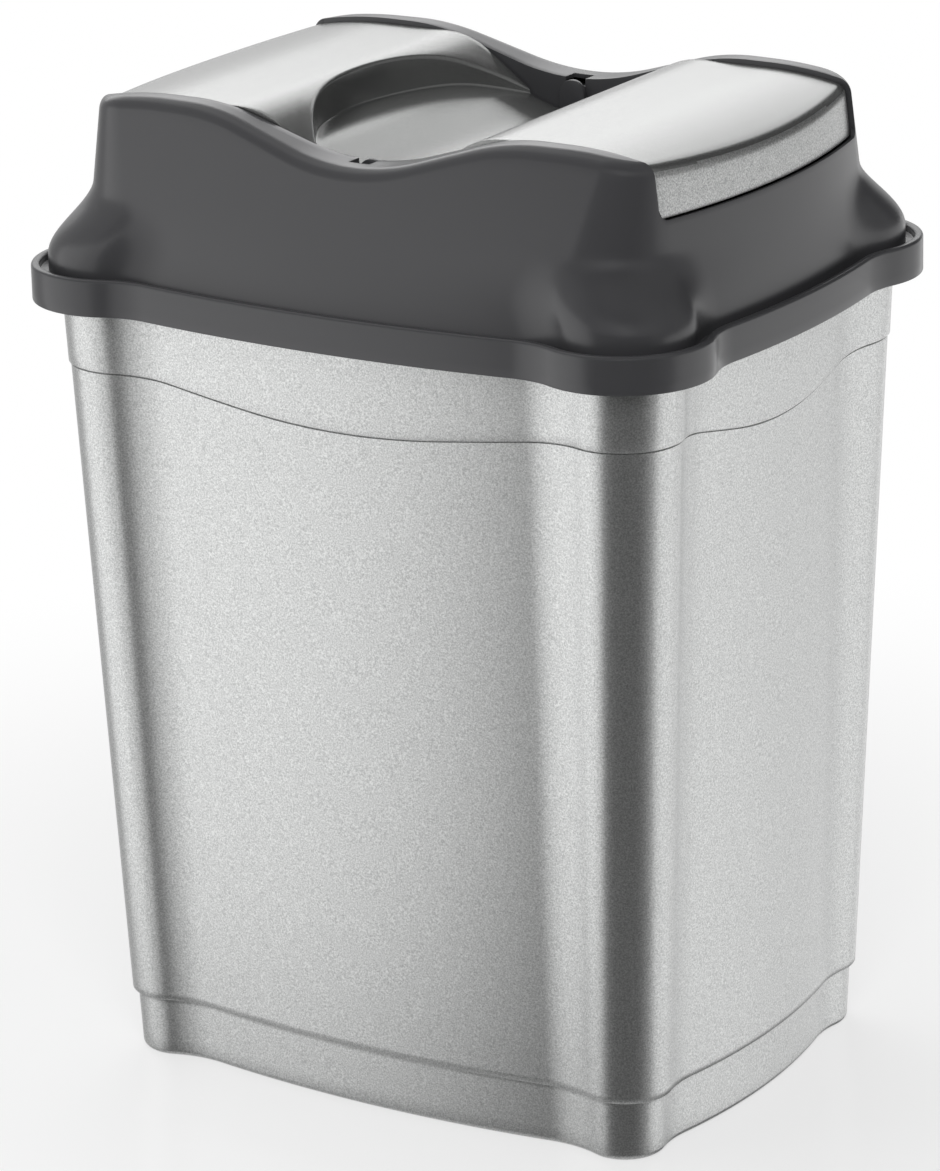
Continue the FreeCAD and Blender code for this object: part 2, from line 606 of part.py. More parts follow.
for piece in doc.Objects:
    for state in ("Invalid", "Error"):
        if state in piece.State:
            raise RuntimeError("%s is %s" % (piece.Label, state))
os.makedirs("parts", exist_ok=True)
for piece in pieces:
    shape = piece.Shape
    if shape.isNull() or not shape.isValid() or len(shape.Solids) != 1:
        raise RuntimeError("%s: valid %s, solids %d" % (piece.Label, shape.isValid(), len(shape.Solids)))
    print(piece.Label, "faces", len(shape.Faces), "cubic cm", round(shape.Volume / 1000, 1),
          shape.optimalBoundingBox(False))
for piece in pieces:
    piece.Shape.exportStep("parts/%s.step" % piece.Label)
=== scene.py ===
import bpy
import functools
import math
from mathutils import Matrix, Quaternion, Vector


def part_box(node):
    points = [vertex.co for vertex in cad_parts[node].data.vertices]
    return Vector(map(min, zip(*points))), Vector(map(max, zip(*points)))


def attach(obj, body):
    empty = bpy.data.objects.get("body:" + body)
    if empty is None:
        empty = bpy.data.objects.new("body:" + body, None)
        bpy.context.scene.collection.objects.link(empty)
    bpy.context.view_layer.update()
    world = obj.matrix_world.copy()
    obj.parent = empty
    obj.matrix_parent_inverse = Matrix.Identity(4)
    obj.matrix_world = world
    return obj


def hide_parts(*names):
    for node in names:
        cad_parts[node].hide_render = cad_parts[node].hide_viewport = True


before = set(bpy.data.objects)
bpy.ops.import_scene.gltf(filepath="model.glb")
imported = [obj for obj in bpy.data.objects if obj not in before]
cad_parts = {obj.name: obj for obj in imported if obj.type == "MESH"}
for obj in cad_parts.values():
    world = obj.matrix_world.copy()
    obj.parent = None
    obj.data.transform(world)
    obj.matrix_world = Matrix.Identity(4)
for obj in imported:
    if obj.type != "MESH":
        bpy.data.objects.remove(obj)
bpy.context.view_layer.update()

# A kitchen swing bin: a silver container, a dark hood over its rim and a silver flap that swings in
# it. X runs along the long side and Z is up. The shapes are worked out in millimetres, in the frame
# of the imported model, and each mesh is turned to metres where it is made.

mm = 0.001
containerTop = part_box("container")[1].z / mm
skirtBottom, borderCrest = [corner.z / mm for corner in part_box("hood")]
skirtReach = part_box("hood")[1] / mm  # the furthest that the hood's skirt goes, each way
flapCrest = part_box("swing_flap")[1].z / mm
print("frame loaded")


# Plan outlines. A plan is eight sizes: the reach of the two side bows, the reach of the corner
# lobe, the radii of the lobe and of the hollow waists beside it, and the radii of the two bows.

planParts = ("halfLength", "halfWidth", "lobeLength", "lobeWidth", "lobe", "waist", "longBow", "shortBow")

skirtPlan = {
    "halfLength": skirtReach.x - 1.1, "halfWidth": skirtReach.y,
    "lobeLength": skirtReach.x, "lobeWidth": skirtReach.y - 0.4,
    "lobe": 48.8, "waist": 48.2, "longBow": 878.0, "shortBow": 592.0,
}
basePlan = {
    "halfLength": skirtPlan["halfLength"] - 27.9, "halfWidth": skirtPlan["halfWidth"] - 30.9,
    "lobeLength": skirtPlan["lobeLength"] - 36.0, "lobeWidth": skirtPlan["lobeWidth"] - 33.9,
    "lobe": 26.1, "waist": 57.3, "longBow": 789.0, "shortBow": 384.0,
}


def grown(plan, distance):
    # The same plan moved outward by a distance: only the hollow waists get tighter
    return {part: plan[part] + (-distance if part == "waist" else distance) for part in planParts}


def between(planA, planB, share):
    return {part: planA[part] + (planB[part] - planA[part]) * share for part in planParts}


def circlesMeet(centreA, radiusA, centreB, radiusB, outward):
    gap = centreB - centreA
    along = (radiusA ** 2 - radiusB ** 2 + gap.length_squared) / (2 * gap.length)
    across = math.sqrt(radiusA ** 2 - along ** 2)
    unit = gap.normalized()
    middle = centreA + unit * along
    side = Vector((-unit.y, unit.x)) * across
    return max(middle + side, middle - side, key=lambda point: point.dot(outward))


def arcBetween(centre, radius, start, end):
    # An arc as its centre, radius, first angle and turn
    first = math.atan2(start.y - centre.y, start.x - centre.x)
    turn = math.atan2(end.y - centre.y, end.x - centre.x) - first
    turn = (turn + math.pi) % (2 * math.pi) - math.pi
    return centre, radius, first, turn


def part(arc, start, end):
    # The stretch of an arc between two shares of it
    centre, radius, first, turn = arc
    return centre, radius, first + turn * start, turn * (end - start)


def lobedArcs(plan):
    # Six arcs from the middle of the long side to the middle of the short side, the lobe in two
    longCentre = Vector((0, plan["halfWidth"] - plan["longBow"]))
    shortCentre = Vector((plan["halfLength"] - plan["shortBow"], 0))
    lobeCentre = Vector((plan["lobeLength"] - plan["lobe"], plan["lobeWidth"] - plan["lobe"]))
    nearLobe = plan["lobe"] + plan["waist"]
    nearLong, nearShort = plan["longBow"] + plan["waist"], plan["shortBow"] + plan["waist"]
    longWaist = circlesMeet(longCentre, nearLong, lobeCentre, nearLobe, Vector((0, 1)))
    shortWaist = circlesMeet(shortCentre, nearShort, lobeCentre, nearLobe, Vector((1, 0)))
    longBow = arcBetween(longCentre, plan["longBow"], Vector((0, plan["halfWidth"])), longWaist)
    longHollow = arcBetween(longWaist, plan["waist"], longCentre, lobeCentre)
    lobe = arcBetween(lobeCentre, plan["lobe"], longWaist, shortWaist)
    shortHollow = arcBetween(shortWaist, plan["waist"], lobeCentre, shortCentre)
    shortBow = arcBetween(shortCentre, plan["shortBow"], shortWaist, Vector((plan["halfLength"], 0)))
    return longBow, longHollow, part(lobe, 0, 0.5), part(lobe, 0.5, 1), shortHollow, shortBow


def roundedArcs(halfLength, halfWidth, corner, longBow, shortBow, longSplit, shortSplit):
    # A rectangle with bowed sides and round corners, cut to pair with the six arcs of a lobed plan
    longCentre = Vector((0, halfWidth - longBow))
    shortCentre = Vector((halfLength - shortBow, 0))
    cornerCentre = circlesMeet(longCentre, longBow - corner, shortCentre, shortBow - corner, Vector((1, 1)))
    side = arcBetween(longCentre, longBow, Vector((0, halfWidth)), cornerCentre)
    bend = arcBetween(cornerCentre, corner, cornerCentre * 2 - longCentre, cornerCentre * 2 - shortCentre)
    end = arcBetween(shortCentre, shortBow, cornerCentre, Vector((halfLength, 0)))
    return (part(side, 0, longSplit), part(side, longSplit, 1), part(bend, 0, 0.5), part(bend, 0.5, 1),
            part(end, 0, 1 - shortSplit), part(end, 1 - shortSplit, 1))


def arcPoint(arc, share):
    centre, radius, first, turn = arc
    angle = first + turn * share
    return centre + Vector((math.cos(angle), math.sin(angle))) * radius


# Columns go round the bin. Each is an arc, a share of it and the signs of its quarter.

columnSteps = (30, 14, 16, 16, 12, 22)
quarterPlaces = [(arc, k / steps) for arc, steps in enumerate(columnSteps) for k in range(steps)]
sideMiddle = (len(columnSteps) - 1, 1.0)
columns = []
for signX, signY in ((1, 1), (1, -1), (-1, -1), (-1, 1)):
    places = quarterPlaces if signX == signY else [sideMiddle] + quarterPlaces[:0:-1]
    columns += [(arc, share, signX, signY) for arc, share in places]


# Waves. A wave is a valley arc, a straight slope and a crest arc, then a level stretch and, where
# it has one, a drop towards the end.

settleSteps = 12  # rounds that find where a leaning wall meets a wave
slopeReach = 10.0  # how far down a wall its slope is taken


def waveHeight(wave, distance):
    rise = wave["crest"] - wave["valley"]
    radius = wave["round"] * (wave["half"] ** 2 + rise ** 2) / (4 * rise)
    away = rise - 2 * radius
    slope = math.atan2(away, wave["half"]) + math.asin(2 * radius / math.hypot(wave["half"], away))
    x = abs(distance)
    turned = radius * math.sin(slope)
    if x < turned:
        return wave["valley"] + radius - math.sqrt(radius ** 2 - x ** 2)
    if x < wave["half"] - turned:
        return wave["valley"] + radius * (1 - math.cos(slope)) + (x - turned) * math.tan(slope)
    if x < wave["half"]:
        return wave["crest"] - radius + math.sqrt(radius ** 2 - (wave["half"] - x) ** 2)
    past = max(0.0, x - wave.get("dropStart", x))
    drop = wave.get("dropRadius", 1.0)
    return wave["crest"] - (drop - math.sqrt(drop ** 2 - past ** 2))


# Mesh making

mergeGap = 0.002  # vertices nearer than this are one
cutMargin = 1.0  # what a cut runs past the piece that it cuts
tiny = 1e-6  # what rounding may leave


def only(piece):
    bpy.ops.object.select_all(action="DESELECT")
    piece.select_set(True)
    bpy.context.view_layer.objects.active = piece


def shapedGrid(name, across, along, place):
    # A grid primitive whose vertices go where place(column, row) says, in millimetres. The
    # vertices that meet are merged later, which closes its seams.
    bpy.ops.mesh.primitive_grid_add(x_subdivisions=across, y_subdivisions=along, size=1)
    piece = bpy.context.object
    piece.name = name
    for vertex in piece.data.vertices:
        column = round((vertex.co.x + 0.5) * across)
        row = round((vertex.co.y + 0.5) * along)
        vertex.co = Vector(place(column, row)) * mm
    return piece


def shapedDisc(name, points):
    # A filled circle primitive with its vertices led to the points, in order
    bpy.ops.mesh.primitive_circle_add(vertices=len(points), radius=1, fill_type="NGON")
    piece = bpy.context.object
    piece.name = name
    for vertex, point in zip(piece.data.vertices, points):
        vertex.co = point * mm
    return piece


def turnedBar(radius, start, end, height, sides=64):
    # A round bar that lies along Y between start and end
    bpy.ops.mesh.primitive_cylinder_add(
        vertices=sides, radius=radius * mm, depth=abs(end - start) * mm, rotation=(math.pi / 2, 0, 0),
        location=(0, (start + end) / 2 * mm, height * mm))
    bpy.ops.object.transform_apply(location=True, rotation=True, scale=True)
    return bpy.context.object


def block(low, high):
    bpy.ops.mesh.primitive_cube_add(size=1, location=(low + high) / 2 * mm, scale=(high - low) * mm)
    bpy.ops.object.transform_apply(location=True, rotation=True, scale=True)
    return bpy.context.object


def cutBy(piece, cutters):
    for cutter in cutters:
        modified(piece, "BOOLEAN", object=cutter, operation="DIFFERENCE", solver="EXACT")
        bpy.data.objects.remove(cutter)


def joined(name, pieces):
    bpy.ops.object.select_all(action="DESELECT")
    for piece in pieces:
        piece.select_set(True)
    bpy.context.view_layer.objects.active = pieces[0]
    bpy.ops.object.join()
    whole = bpy.context.object
    whole.name = name
    return whole


def mergedOutward(piece, outwardAt):
    # Doubles merged, normals agreeing, and the face nearest to outwardAt's point facing its way
    only(piece)
    bpy.ops.object.mode_set(mode="EDIT")
    bpy.ops.mesh.select_all(action="SELECT")
    bpy.ops.mesh.remove_doubles(threshold=mergeGap * mm)
    bpy.ops.mesh.dissolve_degenerate(threshold=mergeGap * mm)
    bpy.ops.mesh.normals_make_consistent(inside=False)
    bpy.ops.object.mode_set(mode="OBJECT")
    point, direction = [Vector(value) for value in outwardAt]
    nearest = min(piece.data.polygons, key=lambda face: (face.center - point * mm).length_squared)
    if nearest.normal.dot(direction) < 0:
        piece.data.flip_normals()


def modified(piece, kind, **settings):
    modifier = piece.modifiers.new(kind, kind)
    for name, value in settings.items():
        setattr(modifier, name, value)
    only(piece)
    bpy.ops.object.modifier_apply(modifier=modifier.name)


def bevelled(piece, shape, segments, mitre):
    modified(piece, "BEVEL", width=shape["softEdge"] * mm, segments=segments, limit_method="ANGLE",
             angle_limit=math.radians(shape["edgeAngle"]), miter_outer=mitre)


def smoothed(piece, degrees):
    only(piece)
    bpy.ops.object.shade_smooth_by_angle(angle=math.radians(degrees))


def roundEdge(radius, steps):
    # Steps (in from the first face, along it to the second) round a quarter turn
    turns = [math.pi / 2 * k / steps for k in range(steps + 1)]
    return [(radius * (1 - math.cos(turn)), radius * math.sin(turn)) for turn in turns]


def dressed(piece, body, node):
    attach(piece, body)
    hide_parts(node)


# Container

containerShape = {
    "height": containerTop, "planTop": skirtBottom, "inFromSkirt": 17.85,
    "plinth": 36.5, "plinthInset": 3.2, "wall": 2.5, "floor": 3.0, "floorRound": 5.0, "floorRim": 9.0,
    "baseEdge": 4.0, "footRing": 12.0, "footRecess": 1.6, "ringEdge": 0.3,
    # The plinth's step, as (out, up) from its hollow and from its outer edge, and inside the bin
    "stepHollow": ((0, -0.4), (0.1, -0.1), (0.4, 0)), "stepEdge": ((-0.7, 0), (-0.25, 0.1), (0, 0.5)),
    "insideStep": 2.2, "insideStepDrop": 0.6,
    # The raised band, over a fine line in the wall
    "bandProud": 1.2, "bandEdge": 0.4, "bandLine": 1.3, "bandLineDepth": 0.9, "bandLineTop": 0.1,
    "lipHeight": 9.0, "lipWall": 2.5, "lipToSkirt": 3.5, "flange": 3.0, "lipEdge": 0.8, "lipFoot": 0.4,
    # Where the rows of the wall start and end, and how many there are
    "wallFrom": 4.0, "wallTo": 0.5, "insideFrom": 1.0, "wallRows": 22, "bandRows": 6, "insideRows": 12,
    "smoothBelow": 35,
}
bandHeight = containerTop - 48.3
bandWaves = {
    "long": {"valley": bandHeight - 12.2, "crest": bandHeight, "half": 172.0, "round": 0.92},
    "short": {"valley": bandHeight - 13.5, "crest": bandHeight, "half": 119.0, "round": 0.94},
}


@functools.lru_cache(None)
def bodyArcs(height, distance):
    top = grown(skirtPlan, -containerShape["inFromSkirt"])
    return lobedArcs(grown(between(basePlan, top, height / containerShape["planTop"]), distance))


def bodyPoint(column, height, distance):
    arc, share, signX, signY = column
    point = arcPoint(bodyArcs(height, distance)[arc], share)
    return point.x * signX, point.y * signY


def containerProfile():
    # Rows from the recess under the floor, up the outside, over the rim and down to the floor:
    # (outward distance, height, share of the band's dip that the row follows, height of its plan).
    # Without a height of its plan a row takes the plan at its own height.
    c = containerShape
    foot = -c["plinthInset"]
    ring = foot - c["footRing"]
    rows = [(ring, c["footRecess"]), (ring, c["ringEdge"]), (ring + c["ringEdge"], 0)]
    rows += [(foot - away, c["baseEdge"] - along) for away, along in roundEdge(c["baseEdge"], 6)[::-1]]
    rows += [(foot, c["plinth"] * share) for share in (0.3, 0.6, 0.9)]
    rows += [(foot + out, c["plinth"] + up) for out, up in c["stepHollow"]]
    rows += [(out, c["plinth"] + up) for out, up in c["stepEdge"]]
    rows = [(away, height, 0, height) for away, height in rows]
    low = c["plinth"] + c["wallFrom"]
    high = bandHeight - c["bandLine"] - c["wallTo"]
    for k in range(c["wallRows"]):
        follow = k / (c["wallRows"] - 1)
        rows.append((0, low + (high - low) * follow, follow, None))
    proud, edge, line = c["bandProud"], c["bandEdge"], c["bandLine"]
    band = [(0, bandHeight - line), (-c["bandLineDepth"], bandHeight - line * 0.6),
            (-c["bandLineDepth"], bandHeight - c["bandLineTop"]), (proud - edge, bandHeight),
            (proud - edge * 0.3, bandHeight + edge * 0.3), (proud, bandHeight + edge)]
    rows += [(away, height, 1, None) for away, height in band]
    under = c["height"] - c["flange"]
    for k in range(1, c["bandRows"] + 1):
        height = bandHeight + edge + (under - bandHeight - edge) * k / c["bandRows"]
        rows.append((proud, height, 1 - k / c["bandRows"], None))
    # The rim keeps one plan, because the hood's skirt hangs straight down beside it
    lip = c["inFromSkirt"] - c["lipToSkirt"]
    top, edge, soft = c["height"], c["lipEdge"], c["lipFoot"]
    bottom = top - c["lipHeight"]
    back = lip - c["lipWall"]
    rim = [(back, under), (back, bottom + soft), (back + soft, bottom),
           (lip - soft, bottom), (lip, bottom + soft), (lip, under)]
    rim += [(lip - away, top - edge + along) for away, along in roundEdge(edge, 3)]
    rows += [(away, height, 0, c["planTop"]) for away, height in rim]
    # Down the inside, over the plinth's step and round to the floor
    inner = -c["wall"]
    inside = [(inner + edge - along, top - away) for away, along in roundEdge(edge, 3)]
    step = c["plinth"] + c["wall"]
    fall = step + c["insideFrom"] - top
    for k in range(1, c["insideRows"] + 1):
        inside.append((inner, top - c["insideFrom"] + fall * k / c["insideRows"]))
    inner = foot - c["wall"]
    inside += [(inner + c["insideStep"], step), (inner, step - c["insideStepDrop"]), (inner, step / 2)]
    radius = c["floorRound"]
    inside += [(inner - away, c["floor"] + radius - along) for away, along in roundEdge(radius, 5)]
    inside += [(inner - c["floorRim"], c["floor"])]
    return rows + [(away, height, 0, None) for away, height in inside]


def makeContainer():
    rows = containerProfile()

    def place(column, row):
        away, height, follow, planHeight = rows[row]
        spot = columns[column % len(columns)]
        x, y = bodyPoint(spot, height if planHeight is None else planHeight, away)
        if follow:
            line = min(waveHeight(bandWaves["long"], x), waveHeight(bandWaves["short"], y))
            height += (line - bandHeight) * follow
            if planHeight is None:
                x, y = bodyPoint(spot, round(height, 1), away)  # rounded, so that plans are reused
        return x, y, height

    shell = shapedGrid("container_shell", len(columns), len(rows) - 1, place)
    only(shell)
    bpy.ops.object.mode_set(mode="EDIT")
    bpy.ops.mesh.select_all(action="SELECT")
    bpy.ops.mesh.remove_doubles(threshold=mergeGap * mm)
    bpy.ops.mesh.select_all(action="DESELECT")
    bpy.ops.mesh.select_non_manifold()  # the open rings under the floor and on it
    bpy.ops.mesh.edge_face_add()
    bpy.ops.object.mode_set(mode="OBJECT")
    mergedOutward(shell, ((0, -skirtReach.y, skirtBottom / 2), (0, -1, 0)))
    smoothed(shell, containerShape["smoothBelow"])
    dressed(shell, "container", "container")
    return shell


# Hood

hoodShape = {
    "webTop": containerTop + 4.2, "web": 4.0, "skirtWall": 2.5, "skirtEdge": 0.4, "skirtRows": (6.0, 12.0),
    "beadHeight": 4.6, "beadWidth": 5.0, "beadRound": 2.0, "groove": 4.8, "grooveRound": 1.0, "wall": 2.4,
    "shoulderFoot": 8.8, "shoulderRise": 39.0, "shoulderRound": 46.0,
    "topRise": 91.8, "endLean": 9.4, "sideLean": 27.3, "topRound": 30.0,
    "topLongBow": 2400.0, "topShortBow": 430.0, "longSplit": 0.83, "shortSplit": 0.74,
    "edgeRound": 9.0, "borderWidth": 20.5, "endWallDrop": 35.5, "sillRound": 6.0, "cheekBottom": 49.5,
    # The notch over a bearing, and the most of the border's width that it takes
    "notchHalf": 6.5, "notchDepth": 10.0, "notchFoot": 5.0, "notchShare": 0.75,
    # Rows of the ring over the web, under the shoulder, up it, and on to the mouth's sill
    "webRow": 3.0, "shoulderRow": 2.0, "shoulderRows": 16, "sillRows": 4,
    "softEdge": 0.5, "edgeAngle": 50, "smoothBelow": 40,
}
borderWave = {"valley": borderCrest - 22.0, "crest": borderCrest, "half": 112.0, "round": 0.91,
              "dropStart": 125.0, "dropRadius": 230.0}
# The bearing's bore, boss and throat in the hood, and the flap's ear and pin
pivot = {
    "height": borderWave["valley"] - 8.5, "bore": 4.08, "boss": 7.5, "bossGap": 0.05, "bossWidth": 5.0,
    "throatHalf": 3.4, "throatTop": 20.0, "bossCut": (20.0, 30.0), "boreSides": 96,
    "pin": 4.0, "pinRoot": 1.0, "pinEnd": 5.5, "ear": 8.0, "earWidth": 3.0, "earFoot": 1.5,
    "softEdge": 0.4, "edgeAngle": 50,
}
wallFoot = hoodShape["beadWidth"] + hoodShape["groove"]
shoulderLow = hoodShape["webTop"] + hoodShape["shoulderFoot"]
shoulderHigh = shoulderLow + hoodShape["shoulderRise"]
hoodTop = hoodShape["webTop"] + hoodShape["topRise"]
topHalfLength = skirtPlan["halfLength"] - wallFoot - hoodShape["endLean"]
topHalfWidth = skirtPlan["halfWidth"] - wallFoot - hoodShape["sideLean"]
mouthHalf = topHalfWidth - hoodShape["borderWidth"]
endWallHeight = borderCrest - hoodShape["endWallDrop"]


def roundedPlan(height, distance):
    # The bowed rectangle that the hood's leaning walls follow over the shoulder
    h = hoodShape
    rise = (height - h["webTop"]) / h["topRise"]
    lobed = grown(skirtPlan, -wallFoot)
    above = (height - shoulderHigh) / (hoodTop - shoulderHigh)
    return (lobed["halfLength"] + (topHalfLength - lobed["halfLength"]) * rise + distance,
            lobed["halfWidth"] + (topHalfWidth - lobed["halfWidth"]) * rise + distance,
            h["shoulderRound"] + (h["topRound"] - h["shoulderRound"]) * above + distance,
            h["topLongBow"] + distance, h["topShortBow"] + distance)


@functools.lru_cache(None)
def hoodArcs(height, distance):
    # Both plans at a height, and how far the wall has gone from the first to the second
    lobed = grown(skirtPlan, -wallFoot)
    halfLength, halfWidth, corner, longBow, shortBow = roundedPlan(height, 0)
    lobed["halfLength"], lobed["halfWidth"] = halfLength, halfWidth
    step = min(1.0, max(0.0, (height - shoulderLow) / hoodShape["shoulderRise"]))
    upper = roundedArcs(halfLength + distance, halfWidth + distance, corner + distance, longBow + distance,
                        shortBow + distance, hoodShape["longSplit"], hoodShape["shortSplit"])
    return lobedArcs(grown(lobed, distance)), upper, step * step * (3 - 2 * step)


def hoodPlanPoint(arc, share, height):
    lower, upper, gone = hoodArcs(height, 0.0)
    return arcPoint(lower[arc], share).lerp(arcPoint(upper[arc], share), gone)


mouthArc = 3  # the arc that the mouth's side plane cuts
mouthStep = 11  # and the column in it that follows the cut
leadBelow, leadOver = 20.0, 30.0  # where columns start to be led to it, and over how much
mouthColumn = sum(columnSteps[:mouthArc]) + mouthStep
halvings = 30  # of the arc, to find where the plane cuts it


@functools.lru_cache(None)
def mouthShare(height):
    # How far along its arc the wall crosses the mouth's side plane
    low, high = 0.0, 1.0
    for _ in range(halvings):
        middle = (low + high) / 2
        if hoodPlanPoint(mouthArc, middle, height).y > mouthHalf:
            low = middle
        else:
            high = middle
    return low


def hoodWallPoint(arc, share, height):
    # A point of the leaning wall. Towards the mouth one column is led along the mouth's edge.
    height = round(height, 3)
    if arc == mouthArc and height > shoulderHigh - leadBelow:
        weight = min(1.0, (height - shoulderHigh + leadBelow) / leadOver)
        steps = columnSteps[mouthArc]
        k = share * steps
        led = mouthShare(height)
        if k < mouthStep:
            target = led * k / mouthStep
        else:
            target = led + (1 - led) * (k - mouthStep) / (steps - mouthStep)
        share = share + (target - share) * weight
    point = hoodPlanPoint(arc, share, height)
    return Vector((point.x, point.y, height))


def turnedCorner(meet, down, inward, radius, steps):
    # Points round the corner where two surfaces meet: down and inward point along them
    spread = math.acos(max(-1, min(1, down.dot(inward))))
    reach = radius / math.tan(spread / 2)
    bisector = (down + inward).normalized()
    centre = meet + bisector * radius / math.sin(spread / 2)
    first = meet + down * reach - centre
    last = meet + inward * reach - centre
    first, last = first.normalized(), last.normalized()
    return [centre + first.slerp(last, k / steps) * radius for k in range(steps + 1)]


def wallEndHeight(arc, share):
    # How high the full ring of columns goes: the sill of the mouth, with its round corners
    sill, radius = endWallHeight, hoodShape["sillRound"]
    if arc < mouthArc or (arc == mouthArc and share * columnSteps[mouthArc] <= mouthStep + tiny):
        return sill + radius
    inside = hoodWallPoint(arc, share, sill + radius).y - (mouthHalf - radius)
    return sill + radius - math.sqrt(max(0.0, radius ** 2 - inside ** 2)) if inside > 0 else sill


webTop, shoulderRows = hoodShape["webTop"], hoodShape["shoulderRows"]
ringHeights = [webTop - hoodShape["web"], webTop, webTop + hoodShape["webRow"],
               shoulderLow - hoodShape["shoulderRow"]]
ringHeights += [shoulderLow + hoodShape["shoulderRise"] * k / shoulderRows for k in range(shoulderRows + 1)]
freeRows, cornerSteps = 5, 8  # rows from the ring to the border's edge, and round it
cheekShares = (0.3, 0.55, 0.8, 1.0)  # rows down the cheek


@functools.lru_cache(None)
def borderPath(index):
    # From the top of the ring up the wall, round the edge, over the border and down the cheek, for
    # a column of the quarter where X and Y are positive
    arc, share = quarterPlaces[index]
    base = endWallHeight + hoodShape["sillRound"]
    height = borderCrest
    for _ in range(settleSteps):
        height = waveHeight(borderWave, hoodWallPoint(arc, share, height).x)
    meet = hoodWallPoint(arc, share, height)
    down = (hoodWallPoint(arc, share, height - slopeReach) - meet).normalized()
    across = hoodArcs(round(height, 3), 0.0)[1][arc][0].to_3d() - Vector((meet.x, meet.y, 0))
    across.normalize()
    limit = max(0.0, meet.y - mouthHalf) / hoodShape["edgeRound"]
    if abs(across.y) > limit:
        across = Vector((-math.sqrt(1 - limit ** 2), -limit, 0))
    tilt = waveHeight(borderWave, meet.x + across.x) - height
    inward = Vector((across.x, across.y, tilt)).normalized()
    corner = turnedCorner(meet, down, inward, hoodShape["edgeRound"], cornerSteps)
    path = [hoodWallPoint(arc, share, base + (corner[0].z - base) * k / freeRows) for k in range(freeRows)]
    path += corner
    start = corner[-1]
    width = max(0.0, start.y - mouthHalf)
    notch = min(hoodShape["notchDepth"] / max(width, mergeGap), hoodShape["notchShare"])
    widthShares = [k / 3 * (1 - notch) for k in (1, 2, 3)] + [1 - notch * 0.5, 1.0]
    level = waveHeight(borderWave, start.x)
    path += [Vector((start.x, start.y - width * gone, level)) for gone in widthShares]
    low = borderCrest - hoodShape["cheekBottom"]
    top = path[-1]
    path += [Vector((top.x, mouthHalf, top.z + (low - top.z) * gone)) for gone in cheekShares]
    return path


def hoodSkirt():
    # The skirt, the bead, the groove and the web, as one closed ring
    h = hoodShape
    top = h["webTop"] + h["beadHeight"]
    bottom = skirtBottom
    web = h["webTop"] - h["web"]
    soft, edge, hollow = h["softEdge"], h["skirtEdge"], h["grooveRound"]
    rows = [(-h["skirtWall"], bottom + edge), (-h["skirtWall"] + edge, bottom), (-soft, bottom),
            (-soft * 0.3, bottom + soft * 0.3), (0, bottom + soft)]
    rows += [(0, bottom + up) for up in h["skirtRows"]]
    bead = [(away, top - h["beadRound"] + along) for away, along in roundEdge(h["beadRound"], 6)]
    rows += [(-away, height) for away, height in bead]
    rows += [(-h["beadWidth"] + away, height) for away, height in bead[::-1]]
    level, groove = h["webTop"], -h["beadWidth"]
    rows += [(groove, level + hollow), (groove - hollow * 0.3, level + hollow * 0.3),
             (groove - hollow, level), (-wallFoot + hollow, level)]
    end = -wallFoot - h["wall"] / 2  # the web ends half way into the wall
    rows += [(end, level), (end, web), (-h["skirtWall"] - soft, web), (-h["skirtWall"], web - soft)]

    def place(column, row):
        away, height = rows[row % len(rows)]
        arc, share, signX, signY = columns[column % len(columns)]
        point = arcPoint(skirtArcs(away)[arc], share)
        return point.x * signX, point.y * signY, height

    skirt = shapedGrid("hood_skirt", len(columns), len(rows), place)
    mergedOutward(skirt, ((0, -skirtReach.y, (bottom + top) / 2), (0, -1, 0)))
    return skirt


@functools.lru_cache(None)
def skirtArcs(distance):
    return lobedArcs(grown(skirtPlan, distance))


def hoodSkin():
    # The outer skin of the walls, borders and cheeks, before it gets its thickness
    ringRows = len(ringHeights) + hoodShape["sillRows"]

    def ringPlace(column, row):
        arc, share, signX, signY = columns[column % len(columns)]
        if row < len(ringHeights):
            height = ringHeights[row]
        else:
            left = wallEndHeight(arc, share) - ringHeights[-1]
            height = ringHeights[-1] + left * (row - len(ringHeights) + 1) / (hoodShape["sillRows"] + 1)
        point = hoodWallPoint(arc, share, height)
        return point.x * signX, point.y * signY, point.z

    pieces = [shapedGrid("hood_ring", len(columns), ringRows, ringPlace)]
    rows = len(borderPath(0))
    for signY in (1, -1):
        def borderPlace(column, row):
            index = column - mouthColumn
            point = borderPath(abs(index))[row]
            x = point.x
            if abs(index) == 1 and row >= freeRows + cornerSteps:
                x = hoodShape["notchHalf"]
            return (x if index >= 0 else -x), point.y * signY, point.z

        pieces.append(shapedGrid("hood_border", 2 * mouthColumn, rows - 1, borderPlace))
        for signX in (1, -1):
            # The flat corner of the mouth, between the wall's edge and the end of the cheek
            edge = [Vector((p.x * signX, p.y * signY, p.z)) for p in borderPath(mouthColumn)]
            wallRows = freeRows + cornerSteps + 1
            pieces.append(shapedDisc("mouth_corner", edge[:wallRows] + edge[-len(cheekShares):]))
    skin = joined("hood_skin", pieces)
    mergedOutward(skin, ((0, -skirtReach.y, shoulderHigh), (0, -1, 0)))
    notched(skin)
    modified(skin, "SOLIDIFY", thickness=hoodShape["wall"] * mm, offset=-1, use_even_offset=True,
             use_quality_normals=True)
    bevelled(skin, hoodShape, 3, "MITER_ARC")
    return skin


